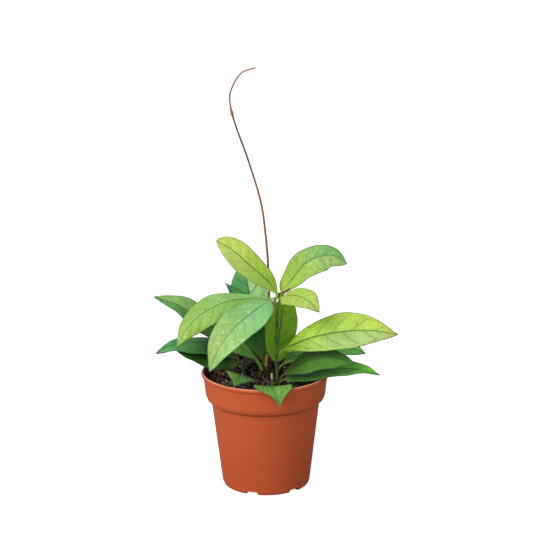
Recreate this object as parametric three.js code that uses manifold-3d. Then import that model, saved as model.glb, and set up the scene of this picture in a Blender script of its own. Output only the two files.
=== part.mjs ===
// A potted hoya: three rooted cuttings in a terracotta-coloured nursery pot full of potting mix.
// Millimetres, +Z up, the origin at the centre of the pot's base, -Y the front.
import * as THREE from "three";
import { mergeVertices } from "three/addons/utils/BufferGeometryUtils.js";
import Module from "manifold-3d";

const wasm = await Module();
wasm.setup();

// The gap that is left between pieces that touch.
const GAP = 0.3;

// Pot
const POT_HEIGHT = 96;
const RIM_RADIUS = 52.5;
const BASE_RADIUS = 36;
const WALL = 1.3;
const FLOOR = 1.8;
const CORNER = 3;
const STEP_HEIGHT = 72;
const STEP_RADIUS = 44.3;
const COLLAR_BOTTOM_RADIUS = 48.9;
const COLLAR_TOP_RADIUS = 50.7;
const SHOULDER = 4;
const LIP_HEIGHT = 3.4;
const POT_SIDES = 48;
const NOTCHES = 6;
const FIRST_NOTCH_ANGLE = 10.5;
const NOTCH_WIDTH = 10.4;
const NOTCH_FLARE = 0.9;
const NOTCH_HEIGHT = 3.3;
const NOTCH_DEPTH = 11;

// Soil
const SOIL_TOP = 86.3;
const SOIL_MOUND = 0.8;
const SOIL_BACK_RISE = 9;
const SOIL_RISE_FROM = -5;
const SOIL_RISE_TO = 42;
const SOIL_RINGS = 8;
const SOIL_SIDES = 40;
const CRUMB = 0.7;
const HOLE_SIDES = 12;

// Stems: the radius, the route from where each leaves the soil, and the swollen nodes on it.
const STEM_DEPTH = 24;
const STEM_SIDES = 8;
const STEM_SPACING = 3;
const SPUR_SPACING = 2;
const stems = {
  main_stem: {
    radius: 1.2,
    color: 0x5e7f38,
    route: [[9.5, -13, 88], [9.2, -13, 100], [9, -13, 112], [9.5, -13, 136], [10.2, -12.6, 152],
      [10.6, -12.5, 165]],
    nodes: [{ height: 92.5, swell: 0.8, reach: 2.6 }, { height: 114, swell: 0.6, reach: 2.5 },
      { height: 161, swell: 1.0, reach: 4 }],
  },
  back_stem: {
    radius: 1.1,
    color: 0x8a7a45,
    route: [[1, 9, 88], [1, 9, 93], [0.8, 8.8, 99.5], [1.6, 8.6, 106.5]],
    nodes: [{ height: 94, swell: 1, reach: 3 }],
  },
  left_stem: {
    radius: 1.3,
    color: 0x7d8266,
    route: [[-18, 6, 88], [-18, 6, 93], [-18.4, 5.6, 98], [-18.6, 5.2, 103]],
    nodes: [{ height: 93, swell: 0.5, reach: 2.5 }, { height: 101, swell: 0.7, reach: 3 }],
  },
  long_shoot: {
    radius: 1.1,
    tipRadius: 0.58,
    spacing: 6,
    color: 0x80583a,
    route: [[3, 4, 88], [3.4, 4.6, 120], [3.6, 5, 156], [2.9, 5, 183], [0.9, 5, 210], [-2.8, 4.5, 237],
      [-12.5, 3.5, 271], [-23, 3, 302], [-26.6, 3, 320], [-24, 2, 331], [-17, 1.5, 341.5], [-6, 0, 345.8]],
    nodes: [{ height: 309, swell: 0.6, reach: 2.5 }],
  },
  pale_stub: {
    radius: 1.1,
    color: 0xcfc9a0,
    route: [[5.5, -8.5, 88], [5.5, -8.5, 91], [5.3, -8.6, 96]],
    nodes: [],
  },
};

// Spurs: short side shoots, each with the stem and height that it grows from and the points that follow.
const spurs = {
  flower_spur: {
    stem: "main_stem", height: 162.6, radius: 0.95, color: 0x5b3a26,
    route: [[15, -15.9, 166], [17.6, -17.2, 168], [20, -18.2, 169.8]],
  },
  cut_stub: {
    stem: "main_stem", height: 160.4, radius: 1, color: 0xd9bfa4,
    route: [[10.3, -17.5, 160.2], [10.2, -19, 160.4]],
  },
};

// Leaves: the stem and height that each grows from, then the two halves of the blade, as one looks along it
// from the stem with its upper face up. Each half has its width and the shape of its base and of its tip,
// where a smaller number is a rounder end. facing is where the upper face looks, fold the rise of its edges
// in degrees, wave the height of the ripple on them, and rib the midrib from the start of the blade to its
// tip.
const SHOOT_GAP = 0.5;
const STALK_RADIUS = 0.9;
const STALK_BLEND = 0.25;
const BLADE = 0.9;
const KEEL = 0.5;
const RIPPLES = 3;
const STALK_ROWS = 2;
const BLADE_ROWS = 14;
const LEAF_COLUMNS = 6;
const TIP_HALF_WIDTH = 0.5;
const YOUNG = 0xa9c95a;
const LIGHT = 0x8cc06c;
const MIDDLE = 0x5f9a52;
const DARK = 0x3f7440;
const BLUE = 0x6fa886;
const DRY = 0x5c5342;
const leaves = {
  leaf_top_left: {
    stem: "main_stem", height: 162.6, color: YOUNG,
    left: [12, 1.1, 0.85], right: [10.5, 0.95, 0.55], facing: [0.3, -0.85, 0.4], fold: 12, wave: 0.5,
    rib: [[9.6, -15.8, 165.4], [2.3, -13.9, 175.7], [-11.5, -11, 187.5], [-25, -7, 199], [-38.5, -3, 206.5]],
  },
  leaf_top_right: {
    stem: "main_stem", height: 163.6, color: LIGHT,
    left: [11.2, 0.6, 0.88], right: [14, 1.05, 0.78], facing: [-0.3, -0.8, 0.5], fold: 5, wave: 0.8,
    rib: [[13.5, -11, 165.5], [21.6, -11.4, 175.2], [32, -12.2, 188.7], [42.5, -14, 195], [54.5, -17, 197],
      [65.5, -22, 191.5]],
  },
  leaf_top_small: {
    stem: "main_stem", height: 161, color: YOUNG,
    left: [10.3, 0.95, 1], right: [14.3, 0.66, 1], facing: [0.1, -0.6, 0.8], fold: 6, wave: 0.5,
    rib: [[13.4, -16.7, 162.1], [22.5, -24, 166.2], [30, -32, 166.5], [36.5, -38, 164], [43, -43, 157.5]],
  },
  leaf_left_upper: {
    stem: "main_stem", height: 160.6, color: LIGHT,
    left: [13.2, 1, 1], right: [15.3, 2, 1.6], facing: [-0.1, -0.6, 0.8], fold: -16, wave: 0.8,
    rib: [[2.5, -12.5, 160], [-13.5, -12.5, 160.5], [-31, -14.5, 158.5], [-48.5, -19, 151.2], [-62, -26, 140],
      [-71.5, -35, 126.5]],
  },
  leaf_left_front: {
    stem: "main_stem", height: 157.6, color: LIGHT,
    left: [17.5, 0.7, 0.9], right: [15, 1, 0.95], facing: [-0.35, -0.75, 0.55], fold: 6, wave: 0.8,
    rib: [[4.5, -18, 159.5], [-5, -28, 157], [-16.5, -39, 151], [-27, -48, 143.5], [-36.5, -54, 131],
      [-44, -57, 113.5]],
  },
  leaf_far_left: {
    stem: "back_stem", height: 93.5, stalk: 1.4, color: MIDDLE,
    left: [15, 1.2, 1.1], right: [13.5, 1.2, 0.9], facing: [0.3, -0.5, 0.8], fold: 5, wave: 0.8,
    rib: [[-7, 7, 102.5], [-18, 5, 113], [-35, 3, 126.5], [-52.5, 0, 140], [-70, -3, 152.5],
      [-89.5, -5, 160.5]],
  },
  leaf_low_left: {
    stem: "left_stem", height: 101.5, color: MIDDLE,
    left: [12.5, 0.8, 1], right: [12.5, 0.8, 1], facing: [0, -0.3, 0.95], fold: -9, wave: 0.7,
    rib: [[-24, 3, 107.5], [-35, 1, 114], [-48, -1, 119], [-62.5, -4, 121], [-77, -8, 120],
      [-88.5, -12, 114.5]],
  },
  leaf_low_left_under: {
    stem: "left_stem", height: 97.5, color: DARK,
    left: [13, 0.8, 0.9], right: [13, 0.8, 0.9], facing: [0, -0.45, 0.9], fold: 2, wave: 0.5,
    rib: [[-23, 4, 99.5], [-33, 1.5, 104], [-46.5, -3, 108.5], [-59.5, -6, 113], [-72, -8, 116]],
  },
  leaf_right_large: {
    stem: "main_stem", height: 114, color: YOUNG,
    left: [15.3, 2.1, 1.15], right: [16.9, 1.55, 0.95], facing: [0, -0.75, 0.65], fold: 10, wave: 0.9,
    rib: [[13.5, -14, 117], [21, -15, 121.5], [38, -17, 129], [57.5, -19, 133.5], [81.5, -20, 135.5],
      [107, -19, 131.5]],
  },
  leaf_right_middle: {
    stem: "main_stem", height: 93.2, color: MIDDLE,
    left: [12.5, 0.9, 1.1], right: [15.5, 1.2, 1.3], facing: [0, -0.4, 0.92], fold: 4, wave: 0.6,
    rib: [[15, -15, 97], [24.5, -18, 104], [37.5, -21, 110.5], [50.5, -24, 113.5], [62.5, -26, 112.5],
      [72.5, -27, 109]],
  },
  leaf_right_low: {
    stem: "main_stem", height: 90.2, color: DARK,
    left: [12.5, 0.9, 1], right: [12.5, 0.9, 1.4], facing: [0, -0.3, 0.95], fold: 5, wave: 0.6,
    rib: [[15, -14, 92.5], [28, -15, 96.5], [46, -17, 100.5], [64.5, -18, 102.5], [79.5, -18, 101],
      [92.5, -18, 97]],
  },
  leaf_right_back: {
    stem: "main_stem", height: 101, color: MIDDLE,
    left: [13, 1.1, 0.9], right: [13, 1.1, 0.9], facing: [0, -0.35, 0.93], fold: 6, wave: 0.6,
    rib: [[15, -6, 103.5], [24, 1, 107], [38, 6, 110.5], [54.5, 9, 112], [69.5, 10, 110.5], [82, 9, 107]],
  },
  leaf_behind_stem: {
    stem: "main_stem", height: 97.5, color: MIDDLE,
    left: [12.5, 0.6, 0.6], right: [13.5, 0.6, 0.6], facing: [0, -1, 0.1], fold: 5, wave: 0.5,
    rib: [[9.5, -7, 105.5], [10.5, -4.5, 119], [12.5, -3, 135.5], [14, -2.5, 149.5], [15, -2, 161]],
  },
  leaf_back_tall: {
    stem: "back_stem", height: 95, color: BLUE,
    left: [16.5, 0.9, 1], right: [15.5, 0.9, 0.8], facing: [-0.1, -0.95, 0.2], fold: 6, wave: 0.8,
    rib: [[-0.5, 14, 101], [-4.5, 18, 114], [-9.5, 23, 134], [-13, 27, 155], [-15, 28, 170],
      [-14.5, 27, 181]],
  },
  leaf_back_slim: {
    stem: "back_stem", height: 99, color: DARK,
    left: [10, 0.9, 2], right: [10, 0.9, 1.3], facing: [0, -0.9, 0.4], fold: 8, wave: 0.6,
    rib: [[-2.5, 9.5, 104.5], [-7.5, 11, 120.5], [-14, 12.5, 137], [-21, 13.5, 150.5], [-27.5, 14, 159.5],
      [-32.5, 14, 167]],
  },
  leaf_dry: {
    stem: "left_stem", height: 96, color: DRY,
    left: [4.5, 0.6, 0.8], right: [4.5, 0.6, 0.8], facing: [0.2, -0.8, 0.5], fold: 15, wave: 0.8,
    rib: [[-15.5, 8.5, 99.5], [-13.8, 11, 103], [-12.3, 13, 106], [-11, 14.5, 109]],
  },
  leaf_front_left: {
    stem: "left_stem", height: 92.5, color: MIDDLE,
    left: [13.5, 0.42, 1.25], right: [13.2, 0.55, 1.35], facing: [0.25, -0.3, 0.9], fold: -3, wave: 0.5,
    rib: [[-19.5, -4, 93], [-20, -13, 96], [-20.8, -22, 98], [-22.8, -31, 97.5], [-25.2, -39, 94]],
  },
  leaf_front: {
    stem: "main_stem", height: 90, color: LIGHT,
    left: [16, 3.4, 2], right: [15, 3, 2.9], facing: [0.04, -0.3, 0.9], fold: 6, wave: 0.5,
    rib: [[5.5, -19, 90.2], [5, -29, 91.8], [5, -39.5, 94.2], [5.8, -50, 97.2], [8.3, -57.5, 93.2],
      [11.5, -61.5, 83.5]],
  },
};

const plant = new THREE.Group();

function addPiece(name, geometry, color, roughness) {
  const mesh = new THREE.Mesh(geometry, new THREE.MeshStandardMaterial({ color, roughness, metalness: 0 }));
  mesh.name = name;
  plant.add(mesh);
}

function closedGeometry(corners, triangles) {
  const geometry = new THREE.BufferGeometry();
  geometry.setAttribute("position", new THREE.Float32BufferAttribute(corners, 3));
  geometry.setIndex(triangles);
  geometry.computeVertexNormals();
  return geometry;
}

function vectors(points) {
  return points.map((point) => new THREE.Vector3(...point));
}

// Solids for cuts: positions alone, with shared corners merged.
function toSolid(geometry) {
  const bare = geometry.clone();
  bare.deleteAttribute("normal");
  bare.deleteAttribute("uv");
  const merged = mergeVertices(bare, 1e-4);
  return new wasm.Manifold(new wasm.Mesh({
    numProp: 3,
    vertProperties: new Float32Array(merged.attributes.position.array),
    triVerts: new Uint32Array(merged.index.array),
  }));
}

function toGeometry(solid) {
  const mesh = solid.getMesh();
  return closedGeometry(Array.from(mesh.vertProperties), Array.from(mesh.triVerts));
}

// A thin solid over a grid of rows and columns, split into triangles alike on both faces.
// place(row, column, side) gives a corner, with side 1 on the upper face and -1 on the lower one.
function sheetGeometry(rows, columns, place) {
  const corners = [];
  const triangles = [];
  const perFace = (rows + 1) * (columns + 1);
  for (const side of [1, -1]) {
    for (let row = 0; row <= rows; row++) {
      for (let column = 0; column <= columns; column++) {
        corners.push(...place(row, column, side).toArray());
      }
    }
  }
  const upper = (row, column) => row * (columns + 1) + column;
  const lower = (row, column) => perFace + upper(row, column);
  const quad = (a, b, c, d) => triangles.push(a, b, c, a, c, d);
  for (let row = 0; row < rows; row++) {
    for (let column = 0; column < columns; column++) {
      quad(upper(row, column), upper(row, column + 1), upper(row + 1, column + 1), upper(row + 1, column));
      triangles.push(lower(row, column), lower(row + 1, column + 1), lower(row, column + 1));
      triangles.push(lower(row, column), lower(row + 1, column), lower(row + 1, column + 1));
    }
    quad(upper(row, 0), upper(row + 1, 0), lower(row + 1, 0), lower(row, 0));
    quad(upper(row, columns), lower(row, columns), lower(row + 1, columns), upper(row + 1, columns));
  }
  for (let column = 0; column < columns; column++) {
    quad(upper(0, column), lower(0, column), lower(0, column + 1), upper(0, column + 1));
    quad(upper(rows, column), upper(rows, column + 1), lower(rows, column + 1), lower(rows, column));
  }
  return closedGeometry(corners, triangles);
}

// Pot: a turned wall of even thickness, with trapezoid notches cut into the bottom edge.
function potOutline() {
  const outer = [[0, 0], [BASE_RADIUS - CORNER, 0], [BASE_RADIUS - 1, 0.9], [BASE_RADIUS - 0.2, CORNER],
    [STEP_RADIUS, STEP_HEIGHT], [STEP_RADIUS + 1, STEP_HEIGHT + 0.2],
    [COLLAR_BOTTOM_RADIUS - 1.2, STEP_HEIGHT + SHOULDER * 0.45],
    [COLLAR_BOTTOM_RADIUS, STEP_HEIGHT + SHOULDER + 1],
    [COLLAR_TOP_RADIUS, POT_HEIGHT - LIP_HEIGHT], [RIM_RADIUS - 0.5, POT_HEIGHT - LIP_HEIGHT + 0.4],
    [RIM_RADIUS, POT_HEIGHT - LIP_HEIGHT / 2], [RIM_RADIUS - 0.5, POT_HEIGHT - 0.5],
    [RIM_RADIUS - 1.5, POT_HEIGHT]];
  const inner = [[COLLAR_TOP_RADIUS - 0.4, POT_HEIGHT - 0.5],
    [COLLAR_TOP_RADIUS - WALL, POT_HEIGHT - LIP_HEIGHT],
    [COLLAR_BOTTOM_RADIUS - WALL, STEP_HEIGHT + SHOULDER + 1], [STEP_RADIUS - WALL, STEP_HEIGHT],
    [BASE_RADIUS - WALL, CORNER + FLOOR], [BASE_RADIUS - CORNER, FLOOR], [0, FLOOR]];
  return [...outer, ...inner].map(([radius, height]) => new THREE.Vector2(radius, height));
}

function notchCutter(angle) {
  const half = NOTCH_WIDTH / 2;
  const outline = new THREE.Shape();
  outline.moveTo(-half - NOTCH_FLARE, -1);
  outline.lineTo(half + NOTCH_FLARE, -1);
  outline.lineTo(half - NOTCH_FLARE, NOTCH_HEIGHT);
  outline.lineTo(-half + NOTCH_FLARE, NOTCH_HEIGHT);
  const cutter = new THREE.ExtrudeGeometry(outline, { depth: NOTCH_DEPTH + CORNER, bevelEnabled: false });
  cutter.rotateX(Math.PI / 2);
  cutter.translate(0, BASE_RADIUS + CORNER, 0);
  cutter.rotateZ(THREE.MathUtils.degToRad(angle - 90));
  return cutter;
}

function potGeometry() {
  let pot = toSolid(new THREE.LatheGeometry(potOutline(), POT_SIDES).rotateX(Math.PI / 2));
  for (let notch = 0; notch < NOTCHES; notch++) {
    pot = pot.subtract(toSolid(notchCutter(FIRST_NOTCH_ANGLE + (notch * 360) / NOTCHES)));
  }
  return toGeometry(pot);
}

// Soil: a turned plug that clears the pot's inside, with a crumbly top that rises towards the back and a
// plain hole for each stem.
function innerRadius(height) {
  if (height < STEP_HEIGHT) {
    return THREE.MathUtils.mapLinear(height, CORNER, STEP_HEIGHT, BASE_RADIUS, STEP_RADIUS) - WALL;
  }
  return THREE.MathUtils.mapLinear(height, STEP_HEIGHT + SHOULDER + 1, POT_HEIGHT - LIP_HEIGHT,
    COLLAR_BOTTOM_RADIUS, COLLAR_TOP_RADIUS) - WALL;
}

function soilHeight(x, y) {
  const fromCentre = Math.hypot(x, y) / COLLAR_BOTTOM_RADIUS;
  const rise = SOIL_BACK_RISE * THREE.MathUtils.smoothstep(y, SOIL_RISE_FROM, SOIL_RISE_TO);
  const crumbs = Math.sin(0.71 * x + 1.3) * Math.cos(0.63 * y) + 0.6 * Math.sin(1.37 * y - 0.4 * x)
    + 0.5 * Math.cos(1.9 * x + 0.8 * y);
  return SOIL_TOP + rise + SOIL_MOUND * (1 - fromCentre ** 2) + CRUMB * 0.5 * crumbs;
}

function soilGeometry() {
  const edge = innerRadius(SOIL_TOP) - 2 * GAP;
  const outline = [[0, FLOOR + GAP], [BASE_RADIUS - CORNER - 1, FLOOR + GAP],
    [innerRadius(CORNER + FLOOR) - 2 * GAP, CORNER + FLOOR + 1], [STEP_RADIUS - WALL - 2 * GAP, STEP_HEIGHT],
    [COLLAR_BOTTOM_RADIUS - WALL - 2 * GAP, STEP_HEIGHT + SHOULDER + 2]];
  for (let ring = SOIL_RINGS; ring >= 0; ring--) {
    outline.push([(edge * ring) / SOIL_RINGS, SOIL_TOP]);
  }
  const turned = new THREE.LatheGeometry(outline.map(([radius, height]) => new THREE.Vector2(radius, height)),
    SOIL_SIDES).rotateX(Math.PI / 2);
  const position = turned.attributes.position;
  for (let i = 0; i < position.count; i++) {
    if (Math.abs(position.getZ(i) - SOIL_TOP) < GAP) {
      position.setZ(i, soilHeight(position.getX(i), position.getY(i)));
    }
  }
  let soil = toSolid(turned);
  for (const stem of Object.values(stems)) {
    const [x, y] = stem.route[0];
    const holeRadius = stem.radius + 1.5 * GAP;
    const hole = new THREE.CylinderGeometry(holeRadius, holeRadius, 2 * STEM_DEPTH, HOLE_SIDES);
    hole.rotateX(Math.PI / 2);
    hole.translate(x, y, SOIL_TOP);
    soil = soil.subtract(toSolid(hole));
  }
  return toGeometry(soil);
}

// Stems: round tubes along a route, with a planted foot and swollen nodes.
function tubeGeometry(path, spacing, radiusAt) {
  const steps = Math.max(2, Math.round(path.getLength() / spacing));
  const frames = path.computeFrenetFrames(steps);
  const corners = [];
  const triangles = [];
  for (let step = 0; step <= steps; step++) {
    const centre = path.getPointAt(step / steps);
    const radius = radiusAt(centre, step / steps);
    for (let side = 0; side < STEM_SIDES; side++) {
      const angle = (side * 2 * Math.PI) / STEM_SIDES;
      const corner = centre.clone()
        .addScaledVector(frames.normals[step], radius * Math.cos(angle))
        .addScaledVector(frames.binormals[step], radius * Math.sin(angle));
      corners.push(...corner.toArray());
    }
  }
  for (let step = 0; step < steps; step++) {
    for (let side = 0; side < STEM_SIDES; side++) {
      const here = step * STEM_SIDES + side;
      const next = step * STEM_SIDES + ((side + 1) % STEM_SIDES);
      triangles.push(here, next, next + STEM_SIDES, here, next + STEM_SIDES, here + STEM_SIDES);
    }
  }
  const last = steps * STEM_SIDES;
  for (let side = 1; side < STEM_SIDES - 1; side++) {
    triangles.push(0, side + 1, side);
    triangles.push(last, last + side, last + side + 1);
  }
  return closedGeometry(corners, triangles);
}

function smoothPath(points) {
  return new THREE.CatmullRomCurve3(points, false, "catmullrom", 0.5);
}

function stemPath(stem) {
  const [x, y] = stem.route[0];
  const foot = [x, y, SOIL_TOP - STEM_DEPTH + GAP];
  return smoothPath(vectors([foot, ...stem.route]));
}

function stemRadius(stem, point, along) {
  let radius = THREE.MathUtils.lerp(stem.radius, stem.tipRadius ?? stem.radius, along);
  if (point.z > SOIL_TOP) {
    for (const node of stem.nodes) {
      radius += node.swell * Math.exp(-(((point.z - node.height) / node.reach) ** 2));
    }
  }
  return radius;
}

function stemGeometry(stem) {
  return tubeGeometry(stemPath(stem), stem.spacing ?? STEM_SPACING,
    (point, along) => stemRadius(stem, point, along));
}

// Where a side shoot of some radius begins: just clear of its stem, on the side that it grows towards.
function shootStart(stemName, height, towards, radius) {
  const stem = stems[stemName];
  const path = stemPath(stem);
  let along = 0;
  while (path.getPointAt(along).z < height) {
    along += 0.001;
  }
  const axis = path.getPointAt(along);
  const away = new THREE.Vector3(...towards).sub(axis);
  const outward = new THREE.Vector3(away.x, away.y, 0).normalize();
  const slant = Math.sqrt(1 - away.normalize().dot(outward) ** 2);
  return axis.addScaledVector(outward, stemRadius(stem, axis, along) + SHOOT_GAP + radius * slant);
}

function spurGeometry(spur) {
  const start = shootStart(spur.stem, spur.height, spur.route[0], spur.radius);
  return tubeGeometry(smoothPath([start, ...vectors(spur.route)]), SPUR_SPACING, () => spur.radius);
}

// Leaves: one skin from the round stalk, which starts clear of its stem, into the folded and waved blade.
function bladeReach([width, base, tip], along) {
  const widest = base / (base + tip);
  return width * (along / widest) ** base * ((1 - along) / (1 - widest)) ** tip;
}

function leafGeometry(leaf, number) {
  const stalkRadius = leaf.stalk ?? STALK_RADIUS;
  const start = shootStart(leaf.stem, leaf.height, leaf.rib[0], stalkRadius);
  const rib = smoothPath([start, ...vectors(leaf.rib)]);
  const bladeStart = 1 / leaf.rib.length;
  const facing = new THREE.Vector3(...leaf.facing);
  const rimSlope = Math.tan(THREE.MathUtils.degToRad(leaf.fold));

  const place = (row, column, side) => {
    const onStalk = row <= STALK_ROWS;
    const along = onStalk ? 0 : (1 - Math.cos((Math.PI * (row - STALK_ROWS)) / BLADE_ROWS)) / 2;
    const where = onStalk ? (bladeStart * row) / STALK_ROWS : bladeStart + (1 - bladeStart) * along;
    const across = (2 * column) / LEAF_COLUMNS - 1;
    const forward = rib.getTangent(where);
    const sideways = new THREE.Vector3().crossVectors(forward, facing).normalize();
    const up = new THREE.Vector3().crossVectors(sideways, forward);

    const bladeShare = THREE.MathUtils.smoothstep(along, 0, STALK_BLEND);
    const halfWidth = Math.hypot(bladeReach(across < 0 ? leaf.left : leaf.right, along),
      THREE.MathUtils.lerp(stalkRadius, TIP_HALF_WIDTH, along));
    const stalkHalf = stalkRadius * Math.sqrt(1 - 0.85 * across ** 2);
    const keel = across === 0 && side < 0 ? KEEL * (1 - along) : 0;
    const halfThickness = THREE.MathUtils.lerp(stalkHalf, BLADE / 2 + keel, bladeShare);

    const phase = number + (across > 0 ? 1.7 : 0);
    const ripple = Math.sin(2 * Math.PI * RIPPLES * along + phase) * Math.sqrt(Math.sin(Math.PI * along));
    const rise = halfWidth * rimSlope * Math.abs(across) ** 1.4 + leaf.wave * across ** 2 * ripple;
    return rib.getPoint(where)
      .addScaledVector(sideways, across * halfWidth)
      .addScaledVector(up, bladeShare * rise + side * halfThickness);
  };
  return sheetGeometry(STALK_ROWS + BLADE_ROWS, LEAF_COLUMNS, place);
}

addPiece("pot", potGeometry(), 0xc2623c, 0.55);
addPiece("soil", soilGeometry(), 0x3a2a22, 0.95);
for (const [name, stem] of Object.entries(stems)) {
  addPiece(name, stemGeometry(stem), stem.color, 0.7);
}
for (const [name, spur] of Object.entries(spurs)) {
  addPiece(name, spurGeometry(spur), spur.color, 0.7);
}
Object.entries(leaves).forEach(([name, leaf], number) => {
  addPiece(name, leafGeometry(leaf, number), leaf.color, 0.45);
});

export default plant;
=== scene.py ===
"""The looks of a potted hoya: fine leaves, stems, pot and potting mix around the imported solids.

The frame is the solids': metres, +Z up, the origin at the centre of the pot's base, -Y the front. Sizes and
places are written in millimetres and scaled by MM, but those of the lamps are in metres."""
import bisect
import math
import random

import bmesh
import bpy
from mathutils import Matrix, Quaternion, Vector, noise


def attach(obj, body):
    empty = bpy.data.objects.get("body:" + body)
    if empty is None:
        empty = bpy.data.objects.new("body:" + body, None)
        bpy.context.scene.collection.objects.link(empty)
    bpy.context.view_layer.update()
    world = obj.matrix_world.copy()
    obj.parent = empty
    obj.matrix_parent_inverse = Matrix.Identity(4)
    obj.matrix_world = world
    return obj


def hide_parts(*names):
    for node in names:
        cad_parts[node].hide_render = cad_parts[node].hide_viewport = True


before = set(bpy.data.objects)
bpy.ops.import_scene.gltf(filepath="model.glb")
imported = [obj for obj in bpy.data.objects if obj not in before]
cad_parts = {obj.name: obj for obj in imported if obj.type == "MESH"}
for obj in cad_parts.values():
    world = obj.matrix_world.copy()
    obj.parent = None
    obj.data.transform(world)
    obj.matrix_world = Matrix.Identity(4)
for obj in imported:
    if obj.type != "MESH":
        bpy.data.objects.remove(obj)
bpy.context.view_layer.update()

MM = 0.001

# Camera: where the photograph was taken from
CAMERA_PLACE = Vector((1.55, -1710.1, 648.1)) * MM
CAMERA_PITCH = 15.19
CAMERA_ROLL = -0.43
CAMERA_LENS = 148.6

# Stage: the strength of the white surroundings as light, and as the camera sees them
SKY_LIGHT = 0.36
SKY_SEEN = 1.0
GROUND_LIGHT = 0.06
GROUND_SEEN = 0.9
GROUND_COLOR = (0.42, 0.42, 0.42, 1)
GROUND_REACH = 6000
GROUND_DROP = 0.2
LAMPS = {
    "key": dict(place=(-0.95, -1.0, 1.1), size=1.1, watts=26, color=(1.0, 0.98, 0.95)),
    "fill": dict(place=(1.3, -1.2, 0.5), size=1.2, watts=3, color=(1.0, 0.86, 0.72)),
}
LAMP_TARGET = Vector((0, 0, 0.12))

# Pieces: how near two corners are to be joined, in metres
WELD = 1e-7
POT_WELD = 1e-6
SOIL_WELD = 1e-5

# Pot
POT_HEIGHT = 96
RIM_RADIUS = 52.5
BASE_RADIUS = 36
WALL = 1.3
FLOOR = 1.8
CORNER = 3
STEP_HEIGHT = 72
STEP_RADIUS = 44.3
COLLAR_BOTTOM_RADIUS = 48.9
COLLAR_TOP_RADIUS = 50.7
SHOULDER = 4
SHOULDER_TOP = STEP_HEIGHT + SHOULDER + 1
LIP_HEIGHT = 3.4
LIP_BOTTOM = POT_HEIGHT - LIP_HEIGHT
LIP_EASE = 0.5
NOTCHES = 6
FIRST_NOTCH_ANGLE = 10.5
NOTCH_WIDTH = 10.4
NOTCH_FLARE = 0.9
NOTCH_HEIGHT = 3.3
NOTCH_DEPTH = 11
POT_SIDES = 144
FILLET = 0.7
FILLET_STEPS = 3
SHARP_ANGLE = 35
# Painted shade in the pot's creases, as (height, reach of the dark line, its share)
CREASE_SHADES = [(STEP_HEIGHT - 0.4, 1.1, 0.6), (LIP_BOTTOM - 0.3, 0.6, 0.08)]
# Heights over which the inside's soil stain and painted shade fade in
STAIN_AND_SHADE_EDGE = (85, 87)

# Soil
SOIL_TOP = 86.3
SOIL_MOUND = 0.8
SOIL_BACK_RISE = 9
SOIL_RISE_FROM = -5
SOIL_RISE_TO = 42
RIPPLE = 0.35
CLOD_RISE = 1.1
CLOD_SINK = 0.5
CLOD_SCALE = 0.35
HEAP_PLACE = (-19, 37)
HEAP_RISE = 5.5
HEAP_REACH = 6.5
SOIL_GAP = 0.6
SOIL_FLOOR_GAP = 0.3
AXIS_GAP = 0.01
SOIL_RINGS = 60
SOIL_SIDES = 150
# Soil's painted shade under the leaves: strongest inside the first radius, none past the second
LEAF_SHADE_EDGE = (26, 43)
GRAIN_SEED = 7
RIM_MARGIN = 1.5
CRUMBS = 2300
SLIVERS = 420
PERLITE_GRAINS = 85

# Stems: a route goes up from the soil, and a node of it is (height, swell, reach)
STEM_DEPTH = 24
FOOT_GAP = 0.3
STEM_SIDES = 20
STEM_SPACING = 0.8
SPUR_SPACING = 0.4
CAP_SHARE = 0.02
BARK_DENTS = 0.07
STEMS = {
    "main_stem": dict(
        radius=1.2, finish="green_stem",
        route=[(9.5, -13, 88), (9.2, -13, 100), (9, -13, 112), (9.5, -13, 136), (10.2, -12.6, 152),
               (10.6, -12.5, 165)],
        nodes=[(92.5, 0.8, 2.6), (114, 0.6, 2.5), (161, 1.0, 4)],
    ),
    "back_stem": dict(
        radius=1.1, finish="tan_stem",
        route=[(1, 9, 88), (1, 9, 93), (0.8, 8.8, 99.5), (1.6, 8.6, 106.5)],
        nodes=[(94, 1, 3)],
    ),
    "left_stem": dict(
        radius=1.3, finish="grey_stem",
        route=[(-18, 6, 88), (-18, 6, 93), (-18.4, 5.6, 98), (-18.6, 5.2, 103)],
        nodes=[(93, 0.5, 2.5), (101, 0.7, 3)],
    ),
    "long_shoot": dict(
        radius=1.1, tip_radius=0.55, finish="brown_shoot",
        route=[(3, 4, 88), (3.4, 4.6, 120), (3.6, 5, 156), (2.9, 5, 183), (0.9, 5, 210), (-2.8, 4.5, 237),
               (-12.5, 3.5, 271), (-23, 3, 302), (-26.6, 3, 320), (-24, 2, 331), (-17, 1.5, 341.5),
               (-6, 0, 345.8)],
        nodes=[(309, 0.6, 2.5)],
    ),
    "pale_stub": dict(
        radius=1.1, finish="pale_cut",
        route=[(5.5, -8.5, 88), (5.5, -8.5, 91), (5.3, -8.6, 96)],
        nodes=[],
    ),
}
SPURS = {
    "flower_spur": dict(
        stem="main_stem", height=162.6, radius=0.95, finish="dark_spur", slot="brown_shoot",
        route=[(15, -15.9, 166), (17.6, -17.2, 168), (20, -18.2, 169.8)],
    ),
    "cut_stub": dict(
        stem="main_stem", height=160.4, radius=1, finish="pale_cut", slot="pale_cut",
        route=[(10.3, -17.5, 160.2), (10.2, -19, 160.4)],
    ),
}

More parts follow.
